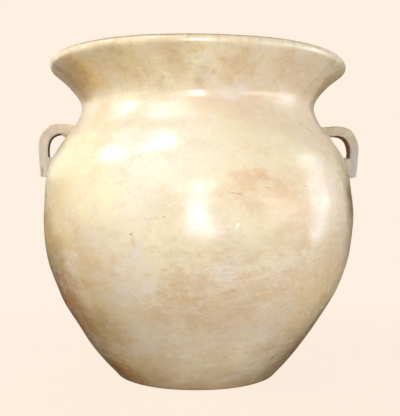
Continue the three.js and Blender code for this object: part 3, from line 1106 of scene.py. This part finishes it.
def set_gloss(paint, coat_share, satin, matt):
    """Satin where the coat is and matt where the clay is bare."""
    uneven = paint.noise(24, 5, 0.6)
    glossy = paint.ramp(uneven, 0.3, 0.7, satin - 0.05, satin + 0.08)
    rough = paint.math("SUBTRACT", matt, paint.times(coat_share, matt))
    rough = paint.math("ADD", rough, paint.times(coat_share, glossy))
    paint.put(paint.shader, {"Roughness": rough, "IOR": 1.5})


def finish_bump(paint, coat_share):
    """Tool strokes that run round the jar, a fine pitted skin and the grain of bare clay."""
    round_jar = paint.stretched((0.35, 0.35, 3.2), turn=(0.10, 0.05, 0))
    strokes = paint.noise(60, 4, 0.6, round_jar, 0.3)
    skin = paint.noise(120, 5, 0.6)
    pits = paint.add("TexVoronoi", {"Vector": paint.place, "Scale": 95})
    patches = paint.noise(22, 2, 0.5, paint.stretched((1, 1, 1), (5, 5, 5)))
    pit = paint.ramp(pits["Distance"], 0.0, 0.22, -1, 0)
    pit = paint.times(pit, paint.ramp(patches, 0.62, 0.70))
    bare_grain = paint.times(paint.noise(240, 5, 0.7), paint.math("SUBTRACT", 1, coat_share))
    normal = paint.bump(strokes, STROKE_DEPTH)
    normal = paint.bump(skin, SKIN_DEPTH, normal)
    normal = paint.bump(pit, PIT_DEPTH, normal)
    normal = paint.bump(bare_grain, GRAIN_DEPTH, normal)
    paint.put(paint.shader, normal)


def finished(paint, colour, coat_share, satin, matt):
    """The material, with its colour, gloss and bumps."""
    paint.put(paint.shader, {"Base Color": colour})
    set_gloss(paint, coat_share, satin, matt)
    finish_bump(paint, coat_share)
    return paint.owner


def jar_material():
    paint = Painter("antique_cream")
    reach = paint.mark("coat_reach")
    ragged = paint.centred(paint.noise(45, 5, 0.65), COAT_RAGGEDNESS)
    coat_share = paint.ramp(paint.math("ADD", reach, ragged), -COAT_EDGE, COAT_EDGE)
    colour = cream_layers(paint)
    inside_edge = paint.math("ADD", reach, paint.times(ragged, 0.15))
    held = paint.vector_math("DISTANCE", paint.place, on_surface(*HELD_PLACE))
    worn = paint.ramp(inside_edge, *WORN_REACH)
    worn = paint.times(worn, paint.ramp(held, 0.30, 0.16, 0.25, 0.9))
    colour = paint.mix(worn, colour, UMBER_AND_SHADE)
    colour = paint.mix(coat_share, clay_layers(paint), colour)
    return finished(paint, colour, coat_share, 0.25, 0.85)


def handle_material():
    """The coat of the handles, rubbed at the edges and bare inside the loop.

    Painted shade darkens the bare clay in the loop, and the handle with more of it has the paler
    coat.
    """
    paint = Painter("antique_cream_handles")
    ragged = paint.centred(paint.noise(150, 4, 0.6), 0.5)
    bare_share = paint.ramp(paint.math("ADD", paint.mark("bare_share"), ragged), 0.35, 0.60)
    coat_share = paint.math("SUBTRACT", 1, bare_share)
    loop_shade = paint.mark("loop_shade_share")
    pale = paint.noise(60, 5, 0.65)
    tan = paint.noise(38, 5, 0.6, paint.stretched((1, 1, 1), (4, 4, 4)))
    streak = paint.noise(70, 5, 0.7, paint.stretched((1.5, 1.5, 0.3), (2, 2, 2)))
    paint.colour = paint.mix(paint.ramp(pale, 0.40, 0.65), HANDLE_GREY, HANDLE_PALE)
    paint.tint(tan, 0.52, 0.70, 0.5, TAN)
    paint.tint(paint.along("Z"), *LILAC_LEVELS, 0.85, HANDLE_LILAC)
    paint.cover(paint.times(loop_shade, 0.75), HANDLE_PALE)
    paint.tint(streak, 0.55, 0.72, 0.45, LILAC)
    paint.tint(streak, 0.45, 0.30, 0.45, HANDLE_SHADE)
    rubbed = paint.times(paint.mark("rubbed_share"), paint.ramp(pale, 0.35, 0.6, 0.2, 0.8))
    paint.cover(rubbed, HANDLE_RUB)
    paint.cover(paint.mark("merge_share"), ROOT_TAN)
    # Painted shade on the bare clay inside the loop
    paint.cover(bare_share, paint.mix(loop_shade, LOOP_CLAY, SHADED_LOOP_CLAY))
    paint.put(paint.shader, {"Specular IOR Level": 0.15})
    return finished(paint, paint.colour, coat_share, 0.6, 0.9)


def clay_material():
    paint = Painter("bare_clay")
    return finished(paint, clay_layers(paint), 0.0, 0.5, 0.85)


# Stage

FLOOR_SIZE = 60.0
FLOOR_DROP = -0.0003
FLOOR_GLOW = 0.93
FLOOR_GLOW_REACH = (0.35, 1.1)
WORLD_LIGHT = 0.15
WORLD_TINT = linear(255, 248, 236)
CARD_BLACK = (0.02, 0.018, 0.015, 1)
CARD_EDGES = (0.5, 0.36)


def floor_material():
    """A pale floor that the camera sees evenly lit, apart from the jar's shadow."""
    paint = Painter("pale_floor")
    rays = paint.add("LightPath")
    colour = paint.mix(rays["Is Camera Ray"], FLOOR_TONE, BACKDROP)
    matt = {"Roughness": 0.9, "Specular IOR Level": 0.0}
    paint.put(paint.shader, {"Base Color": colour, **matt})
    distance = paint.vector_math("DISTANCE", paint.place, (0, 0, 0))
    glow_share = paint.ramp(distance, *FLOOR_GLOW_REACH, FLOOR_GLOW, 1.0)
    glow_share = paint.times(paint.seen(rays), glow_share)
    glow = paint.add("Emission", {"Color": BACKDROP})
    paint.finish_mixed(glow_share, paint.shader.outputs["BSDF"], glow[0])
    return paint.owner


def make_floor():
    bpy.ops.mesh.primitive_plane_add(size=FLOOR_SIZE)
    floor = bpy.context.object
    floor.name = "floor"
    floor.location.z = FLOOR_DROP
    floor.data.materials.append(floor_material())


def make_world():
    """A faint even light, which the camera and the finish see as the pale backdrop."""
    world = bpy.data.worlds.new("studio")
    bpy.context.scene.world = world
    tree = NodeTree(world, "OutputWorld")
    light = tree.add("Background", {"Color": WORLD_TINT, "Strength": WORLD_LIGHT})
    backdrop = tree.add("Background", {"Color": BACKDROP})
    tree.finish_mixed(tree.seen(tree.add("LightPath")), light[0], backdrop[0])


WARM = (1.0, 0.972, 0.93)
WHITE = (1.0, 0.985, 0.96)
COOL = (0.74, 0.85, 1.0)
AMBER = (1.0, 0.93, 0.80)
GOLDEN = (1.0, 0.93, 0.72)
# Lamps: name, whether it lights the jar, shines in its finish or does both, angle from the
# camera's side (positive to the right), height, distance, width, tall, watts, colour, aim, roll
LAMPS = (
    ("key", "both", -33, 1.95, 1.8, 1.5, 1.5, 11.8, WARM, 0.27, 0),
    ("left", "both", -69, 1.25, 1.3, 0.45, 0.35, 6.0, WARM, 0.35, 0),
    ("left_fill", "both", -50, 0.30, 1.8, 1.2, 1.2, 6.8, WARM, 0.27, 0),
    ("side", "both", 58, 0.20, 2.0, 1.2, 1.0, 20.0, WHITE, 0.27, 0),
    ("front", "light", 0.5, 0.12, 1.55, 0.40, 0.40, 9.3, WHITE, 0.18, 0),
    ("left_low", "light", -62, 0.05, 1.5, 0.6, 0.5, 2.4, AMBER, 0.45, 0),
    ("right_low", "light", 66, 0.02, 1.3, 0.5, 0.3, 2.0, WHITE, 0.12, 0),
    ("back", "light", 180, 1.2, 2.0, 1.6, 1.4, 24, WHITE, 0.27, 0),
    ("low_glint", "shine", 0.5, 0.22, 1.55, 0.46, 0.36, 10.0, COOL, 0.25, 0),
    ("high_glint", "shine", 0.5, 0.73, 1.55, 0.48, 0.30, 8.0, COOL, 0.30, 0),
    ("key_glint", "shine", -37, 2.45, 1.40, 0.80, 0.80, 26, COOL, 0.35, 0),
    ("left_high_glint", "shine", -78, 1.74, 1.55, 0.36, 0.25, 5, COOL, 0.42, 0),
    ("right_glint", "shine", 88, 0.40, 1.5, 0.34, 0.90, 7.5, COOL, 0.27, -12),
    ("right_high_glint", "shine", 91, 1.08, 1.5, 0.34, 0.22, 2.6, COOL, 0.42, 0),
    ("window_glint", "shine", -98, 1.03, 1.5, 2.2, 1.15, 9.5, GOLDEN, 0.9, -4.5),
)


def round_jar(angle, distance, height):
    """A place by its angle from the camera's side, and that angle as the scene counts it."""
    turn = CAMERA_ANGLE + math.radians(angle)
    return Vector((distance * math.sin(turn), -distance * math.cos(turn), height)), turn


def make_lights():
    for name, use, angle, height, distance, width, tall, watts, colour, aim, roll in LAMPS:
        data = bpy.data.lights.new(name, "AREA")
        data.shape = "RECTANGLE"
        data.size = width
        data.size_y = tall
        data.energy = watts
        data.color = colour
        lamp = bpy.data.objects.new(name, data)
        lamp.location, _ = round_jar(angle, distance, height)
        towards = Vector((0, 0, aim)) - lamp.location
        tilt = Quaternion((0, 0, 1), math.radians(roll))
        lamp.rotation_euler = (towards.to_track_quat("-Z", "Y") @ tilt).to_euler()
        lamp.visible_diffuse = use != "shine"
        lamp.visible_glossy = use != "light"
        bpy.context.scene.collection.objects.link(lamp)


def card_material():
    """Black, and clearer towards the edges of a card."""
    paint = Painter("black_card")
    paint.tree.nodes.remove(paint.shader)
    share = 1.0
    for axis in ("X", "Y"):
        offset = paint.math("ABSOLUTE", paint.along(axis))
        share = paint.times(paint.ramp(offset, *CARD_EDGES), share)
    black = paint.add("BsdfDiffuse", {"Color": CARD_BLACK})
    paint.finish_mixed(share, paint.add("BsdfTransparent")[0], black[0])
    return paint.owner


# Dark cards, seen only in the finish: name, angle from the camera's side, distance, height,
# width, tall, and the angle at which it stands
CARDS = (
    ("card_left", -150, 1.2, -0.35, 2.0, 1.7, 90),
    ("card_right", 156, 1.2, 0.00, 1.7, 1.7, 90),
    ("card_left_edge", -163, 1.5, 0.55, 0.80, 1.6, 90),
    ("card_right_edge", 163, 1.5, 0.55, 0.80, 1.6, 90),
    ("cloth", 0, 0, 0.0015, 5.0, 5.0, 0),
)


def make_cards():
    """Dark cards behind the jar and one dark cloth round it, which deepen its edges."""
    black = card_material()
    for name, angle, distance, height, width, tall, lean in CARDS:
        bpy.ops.mesh.primitive_plane_add(size=1)
        card = bpy.context.object
        card.name = name
        card.scale = (width, tall, 1)
        card.location, turn = round_jar(angle, distance, height)
        card.rotation_euler = (math.radians(lean), 0, turn)
        card.visible_camera = False
        card.visible_diffuse = False
        card.visible_shadow = False
        card.data.materials.append(black)


def make_camera():
    data = bpy.data.cameras.new("photo_view")
    data.lens = CAMERA_LENS
    data.clip_end = CAMERA_CLIP
    camera = bpy.data.objects.new("photo_view", data)
    camera.location, turn = round_jar(0, CAMERA_DISTANCE, CAMERA_HEIGHT)
    right = Vector((math.cos(turn), math.sin(turn), 0))
    aim = right * CAMERA_AIM_RIGHT + Vector((0, 0, CAMERA_HEIGHT))
    camera.rotation_euler = (aim - camera.location).to_track_quat("-Z", "Y").to_euler()
    bpy.context.scene.collection.objects.link(camera)
    bpy.context.scene.camera = camera


# The scene

coat = (jar_material(), "antique_cream_finish")
clay = (clay_material(), "bare_terracotta")
handle_coat = (handle_material(), "antique_cream_finish")
floor_piece("floor_slab", coat)
wall_piece("lower_section", FLOOR_THICKNESS, BELLY_SEAM, coat)
wall_piece("upper_section", BELLY_SEAM, NECK_SEAM, coat)
neck_piece("neck_and_rim", coat)
corner_coil("floor_corner_coil", clay)
seam_coil("belly_seam_coil", BELLY_SEAM, clay)
seam_coil("neck_seam_coil", NECK_SEAM, clay)
for side, handle in HANDLES.items():
    strap_piece(side, handle, handle_coat)
    root_wedge(side, handle, handle_coat)
    foot_wedge(side, handle, handle_coat)

make_floor()
make_world()
make_lights()
make_cards()
make_camera()
bpy.context.scene.view_settings.view_transform = "Standard"
